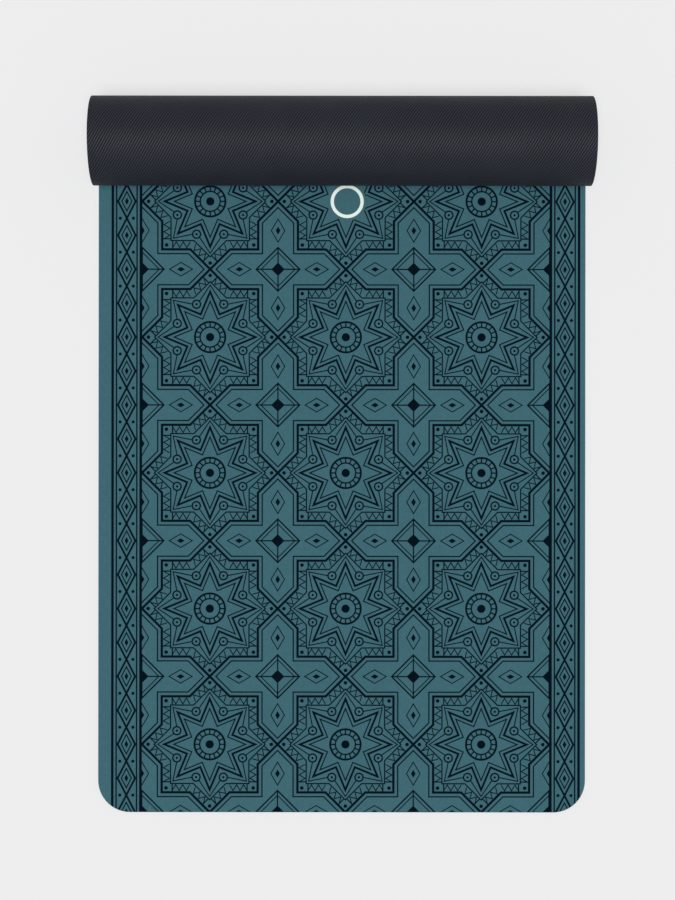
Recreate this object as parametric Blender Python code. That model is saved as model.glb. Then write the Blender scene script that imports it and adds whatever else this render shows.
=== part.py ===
"""A yoga mat lying half unrolled, built up in plies as the real one is laminated.

A printed suede sheet is bonded all over to the rubber foam sheet that grips the floor, and
both are cut to one outline with round corners. The front of the mat lies flat. The rest is
wound up behind it, print side in, so the roll shows the rubber.

Metres, +Z up. X runs across the mat, and Y from its front edge to the roll. The origin is
the middle of the footprint, on the floor.
"""

import math

import bmesh
import bpy
import numpy as np

# The mat laid out flat
MAT_LENGTH = 1.83
MAT_WIDTH = 0.61
CORNER_RADIUS = 0.040

# The plies from the floor up, with the line of adhesive that bonds them
RUBBER_THICKNESS = 0.003
BOND_LINE = 0.0003
SUEDE_THICKNESS = 0.0009

# How the mat lies: the flat run in front, and the roll wound round an open core
FLAT_LENGTH = 0.830
CORE_RADIUS = 0.0355
WRAP_GAP = 0.0008

# How finely curves are cut
FACETS_PER_TURN = 72
FACETS_PER_CORNER = 10
TABLE_STEPS = 8001
GAP_SAMPLE = 0.001

# Finishes, as linear colours
RUBBER_COLOUR = (0.027, 0.031, 0.037, 1.0)
RUBBER_ROUGHNESS = 0.78
SUEDE_COLOUR = (0.050, 0.136, 0.165, 1.0)
SUEDE_ROUGHNESS = 0.92

# Heights above the underside of the mat, and the step from one wrap to the next
SUEDE_UNDERSIDE = RUBBER_THICKNESS + BOND_LINE
MAT_THICKNESS = SUEDE_UNDERSIDE + SUEDE_THICKNESS
WRAP_PITCH = MAT_THICKNESS + WRAP_GAP


def outer_radius():
    """Radius of the roll to the mat's underside, where it leaves the floor.

    Seen from the end, the rolled length times the pitch fills the ring round the core.
    """
    core_wrap = CORE_RADIUS + MAT_THICKNESS / 2
    ring = (MAT_LENGTH - FLAT_LENGTH) * WRAP_PITCH / math.pi
    return math.sqrt(core_wrap ** 2 + ring) + MAT_THICKNESS / 2


ROLL_RADIUS = outer_radius()


def radius_at(angle):
    """Radius to the mat's underside at an angle wound round the roll, from its foot up the back.

    A full turn brings it in by one pitch. The sine makes the mat leave the floor level, and
    keeps the pitch even, because it is the same one turn further in.
    """
    return ROLL_RADIUS - WRAP_PITCH * (angle - np.sin(angle)) / math.tau


def winding_table():
    """Angles wound, and the length of mat they take up on the middle of its thickness.

    The table runs one turn further than the mat fills.
    """
    turns = 1 + (ROLL_RADIUS - CORE_RADIUS - MAT_THICKNESS) / WRAP_PITCH
    angles = np.linspace(0, turns * math.tau, TABLE_STEPS)
    middle = radius_at(angles) - MAT_THICKNESS / 2
    round_roll = (middle[1:] + middle[:-1]) / 2 * np.diff(angles)
    lengths = np.cumsum(np.hypot(round_roll, np.diff(middle)))
    return angles, np.concatenate([[0], lengths])


WOUND_ANGLES, WOUND_LENGTHS = winding_table()


def place_in_roll(along, height):
    """Where a point of the flat mat comes to lie, as its Y and Z from the foot of the roll."""
    wound = along - FLAT_LENGTH
    if wound <= 0:
        return wound, height
    angle = np.interp(wound, WOUND_LENGTHS, WOUND_ANGLES)
    radius = radius_at(angle) - height
    return radius * math.sin(angle), ROLL_RADIUS - radius * math.cos(angle)


def corner_rows():
    """Distance from the end of the mat, and half width, of each row round a pair of corners."""
    rows = []
    for step in range(FACETS_PER_CORNER + 1):
        angle = math.pi / 2 * step / FACETS_PER_CORNER
        from_end = CORNER_RADIUS * (1 - math.cos(angle))
        half_width = MAT_WIDTH / 2 - CORNER_RADIUS * (1 - math.sin(angle))
        rows.append((from_end, half_width))
    return rows


def wound_rows():
    """Rows across the roll, a facet apart from its foot in to the last one before the corners."""
    facet = math.tau / FACETS_PER_TURN
    angles = np.arange(0, WOUND_ANGLES[-1], facet)
    places = FLAT_LENGTH + np.interp(angles, WOUND_ANGLES, WOUND_LENGTHS)
    straight = [along for along in places if along < MAT_LENGTH - CORNER_RADIUS]
    return [(along, MAT_WIDTH / 2) for along in straight[:-1]]


def mat_rows():
    """Distance along the mat, and half width, of each row from the front edge to the core."""
    front = corner_rows()
    inner = [(MAT_LENGTH - from_end, half_width) for from_end, half_width in reversed(front)]
    return front + wound_rows() + inner


def cut_ply(underside, thickness):
    """One ply cut out flat: X across the mat, Y along it, Z up from the mat's underside."""
    ply = bmesh.new()
    ends = []
    for along, half_width in mat_rows():
        left = ply.verts.new((-half_width, along, underside))
        right = ply.verts.new((half_width, along, underside))
        ends.append((left, right))
    for (left, right), (next_left, next_right) in zip(ends, ends[1:]):
        ply.faces.new((left, right, next_right, next_left))
    extruded = bmesh.ops.extrude_face_region(ply, geom=ply.faces[:])
    top = [item for item in extruded["geom"] if isinstance(item, bmesh.types.BMVert)]
    bmesh.ops.translate(ply, vec=(0, 0, thickness), verts=top)
    bmesh.ops.recalc_face_normals(ply, faces=ply.faces[:])
    return ply


def wind_up(ply):
    """Wind the back of a flat ply into the roll."""
    for point in ply.verts:
        point.co.y, point.co.z = place_in_roll(point.co.y, point.co.z)


def finish_material(name, colour, roughness):
    """A plain finish of one colour."""
    material = bpy.data.materials.new(name)
    material.use_nodes = True
    shader = material.node_tree.nodes["Principled BSDF"]
    shader.inputs["Base Color"].default_value = colour
    shader.inputs["Roughness"].default_value = roughness
    shader.inputs["Metallic"].default_value = 0.0
    material.diffuse_color = colour
    return material


def make_ply(name, underside, thickness, material, mat):
    """Cut one ply, wind it up, and lay it in the mat."""
    ply = cut_ply(underside, thickness)
    wind_up(ply)
    mesh = bpy.data.meshes.new(name)
    ply.to_mesh(mesh)
    ply.free()
    mesh.shade_smooth()
    mesh.set_sharp_from_angle(angle=math.radians(30))
    mesh.materials.append(material)
    piece = bpy.data.objects.new(name, mesh)
    piece.parent = mat
    bpy.context.scene.collection.objects.link(piece)
    return piece


def face_points(height):
    """Points along one faceted face of the mat, seen from the end of the roll."""
    rows = [along for along, half_width in mat_rows()]
    places = np.array([place_in_roll(along, height) for along in rows])
    along = np.arange(0, MAT_LENGTH, GAP_SAMPLE)
    side_view = [np.interp(along, rows, places[:, axis]) for axis in range(2)]
    return along, np.stack(side_view, axis=1)


def least_gap(facing_in, facing_out):
    """Least gap between a face that looks into the roll and one that looks out, a wrap apart."""
    along_in, points_in = face_points(facing_in)
    along_out, points_out = face_points(facing_out)
    gaps = np.linalg.norm(points_in[:, None] - points_out[None, :], axis=2)
    next_wrap = along_out[None, :] - along_in[:, None] > ROLL_RADIUS
    return gaps[next_wrap].min()


def report_gaps():
    """Print the least gaps between one wrap and the next, measured on points, in millimetres."""
    pairs = {
        "wrap to wrap": (MAT_THICKNESS, 0),
        "rubber to itself": (RUBBER_THICKNESS, 0),
        "suede to itself": (MAT_THICKNESS, SUEDE_UNDERSIDE),
    }
    for name, (facing_in, facing_out) in pairs.items():
        print(f"least gap, {name}: {least_gap(facing_in, facing_out) * 1000:.2f} mm")


def build_mat():
    """Lay out the mat with the middle of its footprint on the origin."""
    for leftover in list(bpy.data.objects):
        bpy.data.objects.remove(leftover, do_unlink=True)
    back_of_roll = max(place_in_roll(along, 0)[0] for along, half_width in mat_rows())
    mat = bpy.data.objects.new("yoga_mat", None)
    mat.location.y = (FLAT_LENGTH - back_of_roll) / 2
    bpy.context.scene.collection.objects.link(mat)
    rubber = finish_material("rubber_foam", RUBBER_COLOUR, RUBBER_ROUGHNESS)
    suede = finish_material("microfibre_suede", SUEDE_COLOUR, SUEDE_ROUGHNESS)
    make_ply("rubber_base", 0, RUBBER_THICKNESS, rubber, mat)
    make_ply("suede_top", SUEDE_UNDERSIDE, SUEDE_THICKNESS, suede, mat)
    report_gaps()


build_mat()
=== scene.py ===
import math

import bpy
import numpy as np
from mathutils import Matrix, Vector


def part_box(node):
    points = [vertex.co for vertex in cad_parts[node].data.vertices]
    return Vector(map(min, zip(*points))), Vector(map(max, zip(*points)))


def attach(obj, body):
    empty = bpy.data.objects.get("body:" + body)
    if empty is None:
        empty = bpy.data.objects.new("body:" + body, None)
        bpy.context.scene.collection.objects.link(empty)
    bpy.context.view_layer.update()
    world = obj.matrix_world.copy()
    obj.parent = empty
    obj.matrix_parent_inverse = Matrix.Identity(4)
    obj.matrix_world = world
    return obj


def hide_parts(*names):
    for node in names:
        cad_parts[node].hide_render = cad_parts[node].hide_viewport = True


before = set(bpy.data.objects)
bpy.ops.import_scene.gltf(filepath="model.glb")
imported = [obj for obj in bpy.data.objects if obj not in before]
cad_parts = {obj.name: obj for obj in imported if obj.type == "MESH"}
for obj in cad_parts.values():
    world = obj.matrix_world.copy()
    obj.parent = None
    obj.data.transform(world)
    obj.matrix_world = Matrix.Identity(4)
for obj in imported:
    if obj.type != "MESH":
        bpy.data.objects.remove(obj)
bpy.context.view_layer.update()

# Rubber base. The sheet under the mat that grips the floor: charcoal natural rubber, blown to a
# dense foam and embossed with fine slanting ribs. It is cut out flat with round corners, its cut
# edge is eased, and the back of it is wound up, so the ribbed face is the outside of the roll.
MAT_LENGTH = 1.83
MAT_THICKNESS = 0.0042
CORNER_RADIUS = 0.040
EDGE_ROUND = 0.00025
BOND_SEAM = 0.00002
FLAT_LENGTH = 0.830
WRAP_GAP = 0.0008
WRAP_PITCH = MAT_THICKNESS + WRAP_GAP
rubber_low, rubber_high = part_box("rubber_base")
suede_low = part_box("suede_top")[0]
MAT_WIDTH = rubber_high.x - rubber_low.x
FRONT_EDGE = rubber_low.y
ROLL_AXIS = FRONT_EDGE + FLAT_LENGTH

# The roll's top is half a turn in, where the mat has come in by half a pitch.
ROLL_RADIUS = (rubber_high.z + WRAP_PITCH / 2) / 2

# The glue between the plies is drawn as part of the rubber, which ends just under the suede.
SUEDE_UNDERSIDE = suede_low.z
RUBBER_THICKNESS = SUEDE_UNDERSIDE - BOND_SEAM

# One repeat of the print and of the ribs. Rows and columns of the mesh lie on its quarters.
# The cloth was cut a little to one side of the print, so the print's middle is off the mat's.
REPEAT = 0.1701
QUARTER = REPEAT / 4
COLUMNS_ACROSS = 3
LATTICE_HALF = COLUMNS_ACROSS * REPEAT / 2
PRINT_MIDDLE = 0.0048

# How finely the mesh is cut, and the winding worked out.
FACETS_PER_TURN = 144
STEPS_PER_CORNER = 16
STEPS_PER_EDGE = 2
CREASE_ANGLE = math.radians(20)
LEAST_ROW_STEP = 0.0004
TURNS_IN_TABLE = 5
TABLE_STEPS = 8001

# The wraps don't lie quite true: from the second one in they creep sideways, and breathe a little.
CREEP = 0.0013
CREEP_STARTS = 0.9
CREEP_TURNS = 2.4
BREATH = 0.00012
BREATHS_PER_TURN = 2.3


def radius_at(angle):
    """Radius to the mat's underside at an angle wound, from the foot of the roll up its back."""
    return ROLL_RADIUS - WRAP_PITCH * (angle - np.sin(angle)) / math.tau


# Angles wound, and the length of mat that they take up on the middle of its thickness.
wound_angles = np.linspace(0, TURNS_IN_TABLE * math.tau, TABLE_STEPS)
middle_radii = radius_at(wound_angles) - MAT_THICKNESS / 2
round_roll = (middle_radii[1:] + middle_radii[:-1]) / 2 * np.diff(wound_angles)
wound_steps = np.hypot(round_roll, np.diff(middle_radii))
wound_lengths = np.concatenate([[0], np.cumsum(wound_steps)])


def wind_up(flat):
    """Where points of the flat mat, as X, distance along and height, come to lie."""
    across, along, height = np.array(flat).T
    angle = np.interp(along - FLAT_LENGTH, wound_lengths, wound_angles)
    crept = np.clip((angle / math.tau - CREEP_STARTS) / CREEP_TURNS, 0, 1)
    creep = CREEP * (1 - np.cos(math.pi * crept)) / 2
    breath = BREATH * crept * np.sin(BREATHS_PER_TURN * angle)
    radius = radius_at(angle) - height + breath
    wound = along > FLAT_LENGTH
    y = np.where(wound, ROLL_AXIS + radius * np.sin(angle), FRONT_EDGE + along)
    z = np.where(wound, ROLL_RADIUS - radius * np.cos(angle), height)
    return np.stack([across + creep, y, z], axis=1)


def middle_rows():
    """Rows between the corners: on each quarter repeat, and a facet apart round the roll."""
    first, last = CORNER_RADIUS, MAT_LENGTH - CORNER_RADIUS
    rows = [row for row in np.arange(0, MAT_LENGTH, QUARTER) if first < row < last]
    facets = np.arange(0, TURNS_IN_TABLE * math.tau, math.tau / FACETS_PER_TURN)
    for row in FLAT_LENGTH + np.interp(facets, wound_angles, wound_lengths):
        clear = min(abs(row - other) for other in (*rows, first, last))
        if clear > LEAST_ROW_STEP and row < last:
            rows.append(row)
    return sorted(rows)


STRAIGHT_ROWS = middle_rows()
QUARTERS_OUT = 2 * COLUMNS_ACROSS
COLUMNS = [PRINT_MIDDLE + QUARTER * step for step in range(-QUARTERS_OUT, QUARTERS_OUT + 1)]


def cut_grid(inset, height):
    """Rows of points over the mat as it is cut, on its outline moved in by inset."""
    radius = CORNER_RADIUS - inset
    angles = np.linspace(0, math.pi / 2, STEPS_PER_CORNER + 1)
    from_end = CORNER_RADIUS - radius * np.cos(angles)
    half_widths = MAT_WIDTH / 2 - CORNER_RADIUS + radius * np.sin(angles)
    corner = list(zip(from_end, half_widths))
    rows = corner + [(along, MAT_WIDTH / 2 - inset) for along in STRAIGHT_ROWS]
    rows += [(MAT_LENGTH - along, half) for along, half in reversed(corner)]
    return [[(x, along, height) for x in (-half, *COLUMNS, half)] for along, half in rows]


def eased_grids(underside, thickness):
    """The grids of a ply from its underside up, with its edge rounded over at both faces."""
    angles = [math.pi / 2 * step / STEPS_PER_EDGE for step in range(STEPS_PER_EDGE + 1)]
    eased = [(EDGE_ROUND * (1 - math.sin(a)), EDGE_ROUND * (1 - math.cos(a))) for a in angles]
    profile = [(inset, underside + up) for inset, up in eased]
    profile += [(inset, underside + thickness - up) for inset, up in reversed(eased)]
    return [cut_grid(inset, height) for inset, height in profile]


def rim_of(grid):
    """The outer ring of a grid, anticlockwise from its front left corner."""
    right = [row[-1] for row in grid[1:-1]]
    left = [row[0] for row in reversed(grid[1:-1])]
    return grid[0] + right + grid[-1][::-1] + left


def squares_between(rows):
    """Faces between the rows of a grid, seen anticlockwise from above."""
    for row, beyond in zip(rows, rows[1:]):
        for corner in range(len(row) - 1):
            yield row[corner], row[corner + 1], beyond[corner + 1], beyond[corner]


def skin_of(grids):
    """Points of a ply, and the faces of its bottom, rim and top, by number."""
    points = []

    def numbered(row):
        points.extend(row)
        return list(range(len(points) - len(row), len(points)))

    bottom = [numbered(row) for row in grids[0]]
    rings = [rim_of(bottom)] + [numbered(rim_of(grid)) for grid in grids[1:-1]]
    top = [numbered(row) for row in grids[-1]]
    rings.append(rim_of(top))
    sides = {
        "bottom": [face[::-1] for face in squares_between(bottom)],
        "rim": list(squares_between([ring + ring[:1] for ring in rings])),
        "top": list(squares_between(top)),
    }
    return points, sides


# The baked image of a ply holds one repeat at full size, and beside it one of each long side's
# margin. Above them are the square round the white ring, the hidden side and the rim. Places in
# it are in pixels, and a seam runs just past the middle of a pixel, so nothing beyond it shows.
IMAGE_PIXELS = 1024
REPEAT_PIXELS = 610.1
REPEAT_PLACE = (4.45, 4.45)
LEFT_MARGIN_PLACE = (630.53, 4.45)
RIGHT_MARGIN_PLACE = (850.47, 4.45)
RING_PLACE = (4.47, 634.47)
HIDDEN_PLACE = (340, 640)
HIDDEN_SHARE = 0.25
RIM_PLACE = (340, 860)

# The white ring is pressed on the middle column, this many repeats from the mat's front edge.
RING_ROW = 4.5
RING_START = RING_ROW * REPEAT - QUARTER
RING_END = RING_ROW * REPEAT + QUARTER


def image_places(room, corners):
    """Where a face's corners lie in the baked image, so that all repeats share one square.

    The room is the rim, the hidden side, or else the shown one.
    """
    across, along, height = corners.T
    if room == "rim" and np.ptp(along) > np.ptp(across):
        across = along
    elif room != "rim":
        across = across - PRINT_MIDDLE
    left = (math.floor(across.mean() / REPEAT + 0.5) - 0.5) * REPEAT
    start = math.floor(along.mean() / REPEAT) * REPEAT
    place, share = REPEAT_PLACE, 1
    if room == "rim":
        along, start, place = height, 0, RIM_PLACE
    elif room == "hidden":
        place, share = HIDDEN_PLACE, HIDDEN_SHARE
    elif across.mean() < -LATTICE_HALF:
        left, place = -MAT_WIDTH / 2 - PRINT_MIDDLE, LEFT_MARGIN_PLACE
    elif across.mean() > LATTICE_HALF:
        left, place = LATTICE_HALF, RIGHT_MARGIN_PLACE
    elif abs(across.mean()) < QUARTER and RING_START < along.mean() < RING_END:
        left, start, place = -QUARTER, RING_START, RING_PLACE
    pixels_per_metre = REPEAT_PIXELS / REPEAT * share
    u = place[0] + (across - left) * pixels_per_metre
    v = place[1] + (along - start) * pixels_per_metre
    return np.stack([u, v], axis=1) / IMAGE_PIXELS


def make_ply(name, underside, thickness, shown, finishes):
    """Cut one ply, wind it up, and give it its maps and finishes.

    The map Cut holds places on the flat mat in metres, and OFBake those in the baked image. The
    shown side, which is bottom or top, has the first finish, and the rest has the second.
    """
    points, sides = skin_of(eased_grids(underside, thickness))
    mesh = bpy.data.meshes.new(name)
    mesh.from_pydata(wind_up(points), [], [face for faces in sides.values() for face in faces])
    for finish in finishes:
        mesh.materials.append(finish)
    flat = np.array(points)
    cut_map, image_map, slots = [], [], []
    for side, faces in sides.items():
        room = side if side in (shown, "rim") else "hidden"
        for face in faces:
            corners = flat[list(face)]
            cut_map.append(corners[:, :2])
            image_map.append(image_places(room, corners))
            slots.append(0 if side == shown else 1)
    mesh.polygons.foreach_set("material_index", slots)
    for map_name, places in (("Cut", cut_map), ("OFBake", image_map)):
        mesh.uv_layers.new(name=map_name).data.foreach_set("uv", np.concatenate(places).ravel())
    mesh.shade_smooth()
    mesh.set_sharp_from_angle(angle=CREASE_ANGLE)
    ply = bpy.data.objects.new(name, mesh)
    bpy.context.scene.collection.objects.link(ply)
    return ply


def fill(tree, node, sockets):
    """Give a node's sockets their links or their plain values."""
    for socket, value in sockets.items():
        if isinstance(value, Shade):
            tree.links.new(value.output, node.inputs[socket])
        else:
            node.inputs[socket].default_value = value


class Shade:
    """A value, a colour or a shader, so that shader maths is written as plain expressions."""

    def __init__(self, tree, output=None):
        self.tree = tree
        self.output = output

    def node(self, kind, settings=None, sockets=None, output=0):
        """Add a node of any kind: its settings first, then a number or a link for each socket."""
        node = self.tree.nodes.new(kind)
        for setting, choice in (settings or {}).items():
            setattr(node, setting, choice)
        fill(self.tree, node, sockets or {})
        return Shade(self.tree, node.outputs[output])

    def maths(self, operation, first, second=0.0):
        return self.node("ShaderNodeMath", {"operation": operation}, {0: first, 1: second})

    def __add__(self, other):
        return self.maths("ADD", self, other)

    def __sub__(self, other):
        return self.maths("SUBTRACT", self, other)

    def __rsub__(self, other):
        return self.maths("SUBTRACT", other, self)

    def __mul__(self, other):
        return self.maths("MULTIPLY", self, other)

    def __truediv__(self, other):
        return self.maths("DIVIDE", self, other)

    def __rtruediv__(self, other):
        return self.maths("DIVIDE", other, self)

    def __abs__(self):
        return self.maths("ABSOLUTE", self)

    __radd__ = __add__
    __rmul__ = __mul__

    def most(self, other):
        return self.maths("MAXIMUM", self, other)

    def least(self, other):
        return self.maths("MINIMUM", self, other)

    def above(self, other):
        return self.maths("GREATER_THAN", self, other)

    def below(self, other):
        return self.maths("LESS_THAN", self, other)

    def fraction(self):
        return self.maths("FRACT", self)

    def wave(self):
        return self.maths("SINE", self)

    def root(self):
        return self.maths("SQRT", self)

    def clamped(self):
        return self.node("ShaderNodeClamp", {}, {"Value": self})

    def axis(self, name):
        """One coordinate of a vector."""
        return self.node("ShaderNodeSeparateXYZ", {}, {"Vector": self}, name)

    def stretched(self, factors):
        """A vector with each coordinate multiplied by its own factor."""
        return self.node("ShaderNodeVectorMath", {"operation": "MULTIPLY"}, {0: self, 1: factors})

    def shifted(self, other):
        """A vector moved by another one."""
        return self.node("ShaderNodeVectorMath", {"operation": "ADD"}, {0: self, 1: other})

    def noise(self, per_metre, detail=2.0, output="Fac"):
        """Soft noise at the places of this vector, from 0 to 1."""
        sockets = {"Vector": self, "Scale": per_metre, "Detail": detail}
        return self.node("ShaderNodeTexNoise", {}, sockets, output)

    def tint(self, colour_at_0, colour_at_1):
        """The colour that lies this far from the first to the second, from 0 to 1.

        A Mix node's sockets go by number, because those of every kind have the same names.
        """
        sockets = {0: self, 6: colour_at_0, 7: colour_at_1}
        return self.node("ShaderNodeMix", {"data_type": "RGBA"}, sockets, 2)

    def relief(self, depth=1.0):
        """The normals of a surface whose height is this, in metres or in units of a depth."""
        return self.node("ShaderNodeBump", {}, {"Distance": depth, "Height": self})


def together(*patterns):
    """Patterns from 0 to 1, each with its share, added up about 0.5 and kept from 0 to 1."""
    total = 0.5
    for pattern, share in patterns:
        total = (pattern - 0.5) * share + total
    return total.clamped()


def new_finish(name):
    """A new material, still plain."""
    material = bpy.data.materials.new(name)
    material.use_nodes = True
    return material


def place_on_mat(material):
    """Places on the flat mat, in metres."""
    return Shade(material.node_tree).node("ShaderNodeUVMap", {"uv_map": "Cut"})


def place_in_room(material):
    """Places where the mat lies, in metres."""
    return Shade(material.node_tree).node("ShaderNodeTexCoord", output="Object")


def set_surface(material, sockets):
    """Give the material's surface its plain values and its links."""
    fill(material.node_tree, material.node_tree.nodes["Principled BSDF"], sockets)


# The ribbed face. The ribs are counted over one repeat, across the mat and along it, and their
# tops are smoother than the grooves between them. The grooves are painted dark, as painted shade.
RIBS_ACROSS = 50
RIBS_ALONG = 30
RIB_HEIGHT = 0.00025
GRAIN_HEIGHT = 0.00006
GRAINS_PER_METRE = 2600
PATCHES_PER_METRE = 22
RIB_SHADE_SHARE = 0.75
GRAIN_SHARE = 0.35
PATCH_SHARE = 0.3
RIB_POLISH = 0.48
PATCH_POLISH = 0.06
GROOVE_SHADE_COLOUR = (0.0005, 0.0013, 0.0038, 1)
RIB_COLOUR = (0.0218, 0.0260, 0.0365, 1)

ribbed_rubber = new_finish("ribbed_rubber")
on_mat = place_on_mat(ribbed_rubber)
across_ribs = on_mat.axis("X") * RIBS_ACROSS + on_mat.axis("Y") * RIBS_ALONG
rib = (across_ribs * (math.tau / REPEAT)).wave() * 0.5 + 0.5
grain = on_mat.noise(GRAINS_PER_METRE)
patch = on_mat.noise(PATCHES_PER_METRE, detail=3)
# Painted shade in the grooves, mixed with grain and patches of tone that differ at random.
groove_shade_and_tone = together((rib, RIB_SHADE_SHARE), (grain, GRAIN_SHARE), (patch, PATCH_SHARE))
set_surface(ribbed_rubber, {
    "Base Color": groove_shade_and_tone.tint(GROOVE_SHADE_COLOUR, RIB_COLOUR),
    "Roughness": 1.0 - rib * RIB_POLISH - patch * PATCH_POLISH,
    "Specular IOR Level": 0.23,
    "Normal": (rib * RIB_HEIGHT + grain * GRAIN_HEIGHT).relief(),
})

# The cut edge, where the foam's cells lie open, with painted shade in the open cells. The upper side,
# under the cloth, is the same.
CELLS_PER_METRE = 1700
PORE_FILL = 1.3
PORE_SLOPE = 2.2
PORE_DEPTH = 0.0001
CUT_FOAM_COLOUR = (0.0200, 0.0215, 0.0240, 1)
PORE_SHADE_COLOUR = (0.0060, 0.0065, 0.0075, 1)

cut_foam = new_finish("cut_foam")
in_room = place_in_room(cut_foam)
cells = in_room.node("ShaderNodeTexVoronoi", {}, {"Vector": in_room, "Scale": CELLS_PER_METRE})
pores = (PORE_FILL - cells * PORE_SLOPE).clamped()
set_surface(cut_foam, {
    # The open cells are darkened as painted shade.
    "Base Color": pores.tint(CUT_FOAM_COLOUR, PORE_SHADE_COLOUR),
    "Roughness": 0.92,
    "Specular IOR Level": 0.2,
    "Normal": pores.relief(-PORE_DEPTH),
})

rubber_finishes = [ribbed_rubber, cut_foam]
rubber_sheet = make_ply("ribbed_rubber_sheet", 0.0, RUBBER_THICKNESS, "bottom", rubber_finishes)
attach(rubber_sheet, "root")
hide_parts("rubber_base")

# Suede top. The sheet one stands on: short-napped teal microfibre, dyed right through, with a
# line print of stars and crosses in near-black and one white ring. It is bonded to the rubber
# all over, cut with it and wound up with it, print side in.
SUEDE_THICKNESS = MAT_THICKNESS - SUEDE_UNDERSIDE

# The print is drawn in millimetres. Its dye has soft edges, which wander a little in the nap.
MILLIMETRE = 0.001
DYE_SOFTNESS = 0.35
DYE_WANDER = 0.22
WANDERS_PER_METRE = 700

printed_suede = new_finish("printed_suede")
on_mat = place_on_mat(printed_suede)
wander = on_mat.noise(WANDERS_PER_METRE, output="Color").shifted((-0.5, -0.5, -0.5))
wander = wander.stretched((DYE_WANDER, DYE_WANDER, 0))
printed = on_mat.stretched((1 / MILLIMETRE, 1 / MILLIMETRE, 0)).shifted(wander)
across = printed.axis("X") - PRINT_MIDDLE / MILLIMETRE
along = printed.axis("Y")


def line(distance, width):
    """Ink where the distance from a line's middle is under half its width."""
    return ((width / 2 + DYE_SOFTNESS / 2 - abs(distance)) / DYE_SOFTNESS).clamped()


def disc(distance):
    """Ink where a distance is below zero."""
    return ((DYE_SOFTNESS / 2 - distance) / DYE_SOFTNESS).clamped()


def nearest(place, period):
    """Distance to the nearest whole number of periods."""
    return abs((place / period + 0.5).fraction() - 0.5) * period


def length(x, y):
    """Distance to a place x across and y up."""
    return (x * x + y * y).root()


def any_of(first, *others):
    """The largest of some values: ink where any of them has it."""
    for other in others:
        first = first.most(other)
    return first


# A star is two squares, one turned on the other, and four of its points touch the next stars.
# Each repeat is folded onto a sixteenth of it, with tip the way to a point and side square to
# it. Then star is the distance out from its outline, and from_point that along it from a point.
STEP = REPEAT / MILLIMETRE
STAR_HALF = STEP / (2 * math.sqrt(2))
FOLD = math.pi / 8
from_column = nearest(across, STEP)
from_row = STEP / 2 - nearest(along, STEP)
longer = from_column.most(from_row)
shorter = from_column.least(from_row)
folded = (shorter * math.cos(FOLD) - longer * math.sin(FOLD)).most(0.0) * 2
tip = longer + folded * math.sin(FOLD)
side = shorter - folded * math.cos(FOLD)
from_middle = length(tip, side)
star = (tip + side) * math.sqrt(0.5) - STAR_HALF
from_point = STAR_HALF - (tip - side) * math.sqrt(0.5)

# The star's outline has a band of teeth inside it. They stop at a bar before each point, which
# holds a dot.
STAR_PEN = 3.0
BAND = 11.0
BAND_PEN = 1.6
TOOTH_WIDTH = STAR_HALF * (1 - math.tan(FOLD)) / 4
TOOTH_HEIGHT = 7.4
TOOTH_PEN = 1.3
TEETH_INSET = 2.2
TEETH_START = 1.5 * TOOTH_WIDTH
TEETH_END = 4 * TOOTH_WIDTH
POINT_DOT = 2.3
steepness = TOOTH_HEIGHT * 2 / TOOTH_WIDTH
zigzag = star + TEETH_INSET + (TOOTH_WIDTH / 2 - nearest(from_point, TOOTH_WIDTH)) * steepness
teeth = line(zigzag / math.hypot(1, steepness), TOOTH_PEN)
teeth = teeth * from_point.above(TEETH_START) * from_point.below(TEETH_END)
bar = line(from_point - TEETH_START, BAND_PEN)
dot = disc(length(tip - (STAR_HALF - BAND / 2) * math.sqrt(2), side) - POINT_DOT)
in_band = star.below(0.0) * star.above(-BAND)
outlines = any_of(line(star, STAR_PEN), line(star + BAND, BAND_PEN))
star_ink = any_of(outlines, any_of(teeth, bar, dot) * in_band)

# Inside it are a sharper star with an echo of its outline, and a string of beads that runs
# midway between the two stars. SHARP_ANGLE lies between the ways its points and its edges face.
SHARP_REACH = 0.335 * STEP
SHARP_ANGLE = math.radians(67.5)
SHARP_PEN = 2.6
ECHO_INSET = 4.6
ECHO_PEN = 1.5
ECHO_CLEAR = 20.0
BEAD_REACH = 0.262 * STEP
BEAD_RADIUS = 5.0
BEAD_PEN = 1.9
BEAD_DOT = 1.5
STRING_PEN = 1.4
in_star = star.below(-BAND)
sharp = (tip - SHARP_REACH) * math.cos(SHARP_ANGLE) + side * math.sin(SHARP_ANGLE)
sharp_ink = line(sharp, SHARP_PEN) * in_star
echo = line(sharp + ECHO_INSET, ECHO_PEN) * from_middle.above(ECHO_CLEAR)
bead = length(tip - BEAD_REACH * math.cos(FOLD), side - BEAD_REACH * math.sin(FOLD))
midway = (sharp + star + BAND) / (2 * math.cos(FOLD / 2))
string = line(midway, STRING_PEN) * bead.above(BEAD_RADIUS) * in_star
beads = any_of(line(bead - BEAD_RADIUS, BEAD_PEN), disc(bead - BEAD_DOT))

# The wheel in the star's middle: two rings joined by sixteen spokes, round a hub.
WHEEL_RADIUS = 19.0
WHEEL_PEN = 2.5
WHEEL_INSIDE = 12.5
INSIDE_PEN = 1.8
SPOKE_PEN = 1.7
HUB_RADIUS = 5.2
from_fold = (side - tip * math.tan(FOLD)) * math.cos(FOLD)
spokes = any_of(line(side, SPOKE_PEN), line(from_fold, SPOKE_PEN))
spokes = spokes * from_middle.above(WHEEL_INSIDE) * from_middle.below(WHEEL_RADIUS)
outer_ring = line(from_middle - WHEEL_RADIUS, WHEEL_PEN)
inner_ring = line(from_middle - WHEEL_INSIDE, INSIDE_PEN)
wheel = any_of(spokes, outer_ring, inner_ring, disc(from_middle - HUB_RADIUS))

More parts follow.
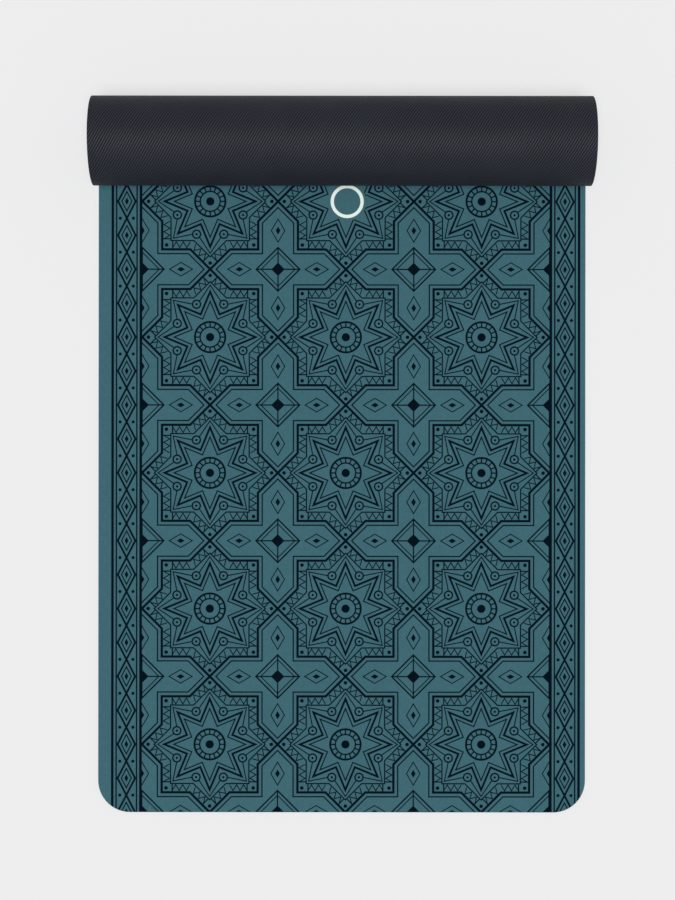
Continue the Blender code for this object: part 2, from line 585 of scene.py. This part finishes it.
# The cross between four stars, with a diamond in its middle and a lozenge in each arm.
CROSS_INSET = 5.4
CROSS_PEN = 1.6
DIAMOND = 0.16 * STEP
DIAMOND_PEN = 2.6
INNER_DIAMOND = 0.125 * STEP
INNER_DIAMOND_PEN = 1.7
DIAMOND_CORE = 0.05 * STEP
LOZENGE_PLACE = 0.285 * STEP
LOZENGE_REACH = 0.085 * STEP
LOZENGE_SLIMNESS = 1.7
LOZENGE_PEN = 2.4
LOZENGE_CORE = 0.03 * STEP
from_cross_x = STEP / 2 - from_column
from_cross_y = STEP / 2 - from_row
arm = from_cross_x.most(from_cross_y)
beside = from_cross_x.least(from_cross_y)
diamond = arm + beside
lozenge = abs(arm - LOZENGE_PLACE) + beside * LOZENGE_SLIMNESS
diamond_ink = line(diamond - DIAMOND, DIAMOND_PEN)
lozenge_ink = line(lozenge - LOZENGE_REACH, LOZENGE_PEN)
in_cross = any_of(diamond_ink, lozenge_ink) * star.above(CROSS_INSET)
inner_diamond = line(diamond - INNER_DIAMOND, INNER_DIAMOND_PEN)
facets = line(beside, CROSS_PEN) * diamond.below(DIAMOND)
cores = any_of(disc(diamond - DIAMOND_CORE), disc(lozenge - LOZENGE_CORE))
cross_ink = any_of(line(star - CROSS_INSET, CROSS_PEN), in_cross, inner_diamond, facets, cores)

# The border down each long side: a chain of lozenges between two pairs of lines. Each of those
# is given by how far out from the stars it lies, and its width.
BORDER_LINES = ((1.6, 3.6), (6.6, 1.8), (32.2, 1.8), (37.0, 3.2))
CHAIN_INSIDE = 7.0
CHAIN_OUTSIDE = 32.0
CHAIN_MIDDLE = 19.4
CHAIN_HALF = 11.0
CHAIN_PEN = 2.5
LINK = STEP / 4
LINK_INSET = 4.2
LINK_INSET_PEN = 1.5
LINK_CORE = 7.6
CHAIN_DOT_PLACE = 8.2
CHAIN_DOT = 2.0
out = abs(across) - LATTICE_HALF / MILLIMETRE
from_chain = abs(out - CHAIN_MIDDLE)
from_link = LINK / 2 - nearest(along, LINK)
slope = LINK / 2 / CHAIN_HALF
chain = (from_chain * slope - from_link) / math.hypot(slope, 1)
edges = any_of(*(line(out - place, width) for place, width in BORDER_LINES))
links = line(chain, CHAIN_PEN) * out.above(CHAIN_INSIDE) * out.below(CHAIN_OUTSIDE)
link_insides = any_of(line(chain + LINK_INSET, LINK_INSET_PEN), disc(chain + LINK_CORE))
chain_dots = disc(length(from_chain - CHAIN_DOT_PLACE, from_link) - CHAIN_DOT)
border_ink = any_of(edges, links, link_insides, chain_dots)

in_border = out.above(0.0)
lattice_ink = any_of(star_ink, sharp_ink, echo, string, beads, wheel, cross_ink)
ink = lattice_ink * (1 - in_border) + border_ink * in_border

# The white ring, pressed on plain cloth in the middle of a star, a little to its right.
RING_SHIFT = 1.5
RING_RADIUS = 18.7
RING_PEN = 4.1
RING_CLEAR = 24.0
from_ring = length(across - RING_SHIFT, along - RING_ROW * STEP)
ink = ink * from_ring.above(RING_CLEAR)
white = line(from_ring - RING_RADIUS, RING_PEN)

# The nap: short fibres that lean along the mat, in tufts, and in strokes where it was brushed.
# Each has its count in a metre, a stretch that draws it out along the mat, and its share.
NAP_PER_METRE = 1300
NAP_STRETCH = (1, 0.4, 1)
NAP_SHARE = 1.5
NAP_HEIGHT = 0.00014
NAP_POLISH = 0.1
TUFTS_PER_METRE = 240
TUFT_STRETCH = (1, 0.6, 1)
TUFT_SHARE = 0.5
STROKES_PER_METRE = 26
STROKE_STRETCH = (1, 0.35, 1)
STROKE_SHARE = 0.35
DYE_STRENGTH = 0.98
DYE_FLATTENS = 0.35
DEEP_TEAL = (0.0360, 0.1120, 0.1400, 1)
PALE_TEAL = (0.0690, 0.1700, 0.2020, 1)
INK = (0.0002, 0.0032, 0.0082, 1)
WHITE_INK = (0.86, 0.95, 0.90, 1)

nap = on_mat.stretched(NAP_STRETCH).noise(NAP_PER_METRE, detail=3)
tufts = on_mat.stretched(TUFT_STRETCH).noise(TUFTS_PER_METRE)
strokes = on_mat.stretched(STROKE_STRETCH).noise(STROKES_PER_METRE, detail=3)
lie = together((nap, NAP_SHARE), (tufts, TUFT_SHARE), (strokes, STROKE_SHARE))
cloth = lie.tint(DEEP_TEAL, PALE_TEAL)
dyed = (ink * DYE_STRENGTH).tint(cloth, INK)
set_surface(printed_suede, {
    "Base Color": white.tint(dyed, WHITE_INK),
    "Roughness": 0.98 - nap * NAP_POLISH,
    "Specular IOR Level": 0.02,
    "Sheen Weight": 0.15,
    "Sheen Roughness": 0.3,
    "Sheen Tint": (0.55, 0.85, 0.90, 1),
    "Normal": (nap * (1 - ink * DYE_FLATTENS)).relief(NAP_HEIGHT),
})

# The cut edge, where the fibres' ends show. The underside, on the rubber, is the same.
FIBRES_PER_METRE = 2200
FIBRE_HEIGHT = 0.00008
DEEP_FIBRE = (0.030, 0.085, 0.105, 1)
PALE_FIBRE = (0.075, 0.180, 0.210, 1)

suede_edge = new_finish("suede_edge")
fibres = place_in_room(suede_edge).noise(FIBRES_PER_METRE, detail=3)
set_surface(suede_edge, {
    "Base Color": fibres.tint(DEEP_FIBRE, PALE_FIBRE),
    "Roughness": 0.95,
    "Specular IOR Level": 0.1,
    "Normal": fibres.relief(FIBRE_HEIGHT),
})

suede_finishes = [printed_suede, suede_edge]
suede_sheet = make_ply("printed_suede_sheet", SUEDE_UNDERSIDE, SUEDE_THICKNESS, "top", suede_finishes)
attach(suede_sheet, "root")
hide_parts("suede_top")

# Studio. A plain pale floor that runs out of sight, under an even sky and one broad soft lamp
# overhead, and a camera that looks straight down, as the photograph was taken.
FLOOR_HALF = 12.0
FLOOR_DROP = 0.0002
FLOOR_CORNERS = ((-1, -1), (1, -1), (1, 1), (-1, 1))
FLOOR_COLOUR = (0.855, 0.855, 0.865, 1)
SHADOWLESS_SHARE = 0.6

floor_points = [(x * FLOOR_HALF, y * FLOOR_HALF, -FLOOR_DROP) for x, y in FLOOR_CORNERS]
floor_mesh = bpy.data.meshes.new("studio_floor")
floor_mesh.from_pydata(floor_points, [], [range(4)])
floor = bpy.data.objects.new("studio_floor", floor_mesh)
bpy.context.scene.collection.objects.link(floor)
floor_paint = new_finish("studio_floor")
floor_mesh.materials.append(floor_paint)
set_surface(floor_paint, {
    "Base Color": FLOOR_COLOUR,
    "Roughness": 1.0,
    "Specular IOR Level": 0.0,
})


def seen_directly(tree):
    """1 where the camera sees a thing as it is, or in gloss or glass, and 0 where it gives light."""
    rays = "Is Camera Ray", "Is Glossy Ray", "Is Transmission Ray"
    return any_of(*(Shade(tree).node("ShaderNodeLightPath", output=ray) for ray in rays))


def show_plain(tree, lit, plain, share, end):
    """Put this share of a plain shader over a lit one where the camera sees it."""
    mixed = {0: seen_directly(tree) * share, 1: Shade(tree, lit.outputs[0]), 2: plain}
    fill(tree, tree.nodes[end], {0: plain.node("ShaderNodeMixShader", {}, mixed)})


# Part of what the camera sees of the floor is its own colour, so the shadows on it stay faint.
tree = floor_paint.node_tree
plain_floor = Shade(tree).node("ShaderNodeEmission", {}, {"Color": FLOOR_COLOUR, "Strength": 1.0})
show_plain(tree, tree.nodes["Principled BSDF"], plain_floor, SHADOWLESS_SHARE, "Material Output")

# Past the floor the camera sees the floor's colour, and the sky only gives light.
SKY_SHARE = 0.27
world = bpy.data.worlds.new("studio")
bpy.context.scene.world = world
world.use_nodes = True
tree = world.node_tree
fill(tree, tree.nodes["Background"], {"Color": (1, 1, 1, 1), "Strength": SKY_SHARE})
backdrop = Shade(tree).node("ShaderNodeBackground", {}, {"Color": FLOOR_COLOUR, "Strength": 1.0})
show_plain(tree, tree.nodes["Background"], backdrop, 1.0, "World Output")

# The lamp gives the rest of the light, so a level surface renders about in its own colour.
LAMP_SPREAD = math.radians(26)
LAMP_TILT = math.radians(12)
lamp_data = bpy.data.lights.new("soft_lamp", "SUN")
lamp_data.energy = (1 - SKY_SHARE) * math.pi
lamp_data.angle = LAMP_SPREAD
lamp = bpy.data.objects.new("soft_lamp", lamp_data)
lamp.rotation_euler.x = LAMP_TILT
bpy.context.scene.collection.objects.link(lamp)

# The view was fitted to the photograph: the mat's corners and the ends of the roll.
CAMERA_PLACE = (-0.0055, 0.0108, 2.2005)
CAMERA_TURN = math.radians(0.06)
FOCAL_LENGTH_PX = 1752.6
PHOTO_HEIGHT_PX = 900
SENSOR = 36.0
camera_data = bpy.data.cameras.new("camera")
camera_data.sensor_fit = "VERTICAL"
camera_data.sensor_height = SENSOR
camera_data.lens = FOCAL_LENGTH_PX / PHOTO_HEIGHT_PX * SENSOR
camera = bpy.data.objects.new("camera", camera_data)
camera.location = CAMERA_PLACE
camera.rotation_euler.z = CAMERA_TURN
bpy.context.scene.collection.objects.link(camera)
bpy.context.scene.camera = camera
bpy.context.scene.view_settings.view_transform = "Standard"
